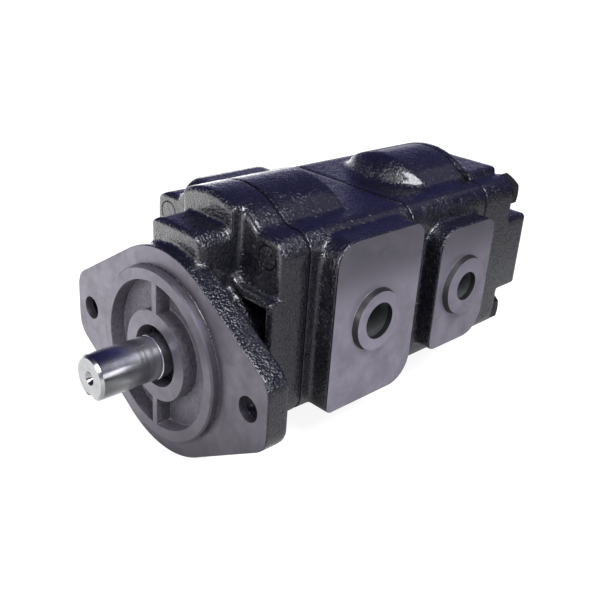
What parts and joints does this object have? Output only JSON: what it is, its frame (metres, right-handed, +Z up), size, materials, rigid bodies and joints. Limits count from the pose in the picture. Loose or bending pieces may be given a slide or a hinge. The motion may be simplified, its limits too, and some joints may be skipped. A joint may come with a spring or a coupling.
{
  "type": "hydraulic gear pump",
  "caption": "Tandem cast-iron hydraulic gear pump with a two-bolt pilot flange, straight drive shaft, side ports on raised pads and meshed involute gears in two sections.",
  "frame": {"origin": "centre of the pilot on the flange's mounting face, which is also the centre of the two flange bolts", "axes": "+X rearwards along the drive shaft, +Y towards the inlet side, +Z up from the drive gears to the driven gears"},
  "size_m": [0.3135, 0.174, 0.1503],
  "materials": {
    "painted_casting": "gloss black paint over rough cast iron, with bare machined flange, pilot, pads and port rings",
    "blackened_steel": "black oxide",
    "bright_steel": "ground and polished steel",
    "seal_rubber": "moulded nitrile rubber",
    "bush_bronze": "bronze-lined plain bush",
    "block_alloy": "machined aluminium alloy",
    "backup_plastic": "moulded plastic"
  },
  "bodies": {
    "pump_body": {"front_cover": "painted_casting", "front_housing": "painted_casting", "rear_housing": "painted_casting", "rear_cover": "painted_casting", "tie_bolts": "blackened_steel", "tie_bolt_washers": "blackened_steel", "front_dowel_pins": "bright_steel", "middle_dowel_pins": "bright_steel", "rear_dowel_pins": "bright_steel", "front_joint_seal": "seal_rubber", "middle_joint_seal": "seal_rubber", "rear_joint_seal": "seal_rubber", "shaft_snap_ring": "blackened_steel", "shaft_seal_case": "blackened_steel", "shaft_seal_lip": "seal_rubber", "shaft_seal_spring": "bright_steel", "cover_bush": "bush_bronze", "section_seal": "seal_rubber", "bearing_block_1": "block_alloy", "bearing_block_2": "block_alloy", "bearing_block_3": "block_alloy", "bearing_block_4": "block_alloy", "journal_bushes_1": "bush_bronze", "journal_bushes_2": "bush_bronze", "journal_bushes_3": "bush_bronze", "journal_bushes_4": "bush_bronze", "block_seal_1": "seal_rubber", "block_seal_2": "seal_rubber", "block_seal_3": "seal_rubber", "block_seal_4": "seal_rubber", "backup_strips_1": "backup_plastic", "backup_strips_2": "backup_plastic", "backup_strips_3": "backup_plastic", "backup_strips_4": "backup_plastic"},
    "drive_train": {"drive_shaft": "bright_steel", "spline_quill": "bright_steel", "rear_drive_gear": "bright_steel"},
    "front_driven": {"front_driven_gear": "bright_steel"},
    "rear_driven": {"rear_driven_gear": "bright_steel"}
  },
  "joints": [
    {"name": "drive_spin", "type": "hinge", "parent": "pump_body", "child": "drive_train", "pos_m": [0, 0, 0], "axis": [1, 0, 0], "continuous": true},
    {"name": "front_driven_spin", "type": "hinge", "parent": "pump_body", "child": "front_driven", "pos_m": [0, 0, 0.04], "axis": [1, 0, 0], "continuous": true},
    {"name": "rear_driven_spin", "type": "hinge", "parent": "pump_body", "child": "rear_driven", "pos_m": [0, 0, 0.04], "axis": [1, 0, 0], "continuous": true}
  ],
  "couplings": [
    {"joint": "front_driven_spin", "follows": "drive_spin", "ratio": -1},
    {"joint": "rear_driven_spin", "follows": "drive_spin", "ratio": -1}
  ]
}
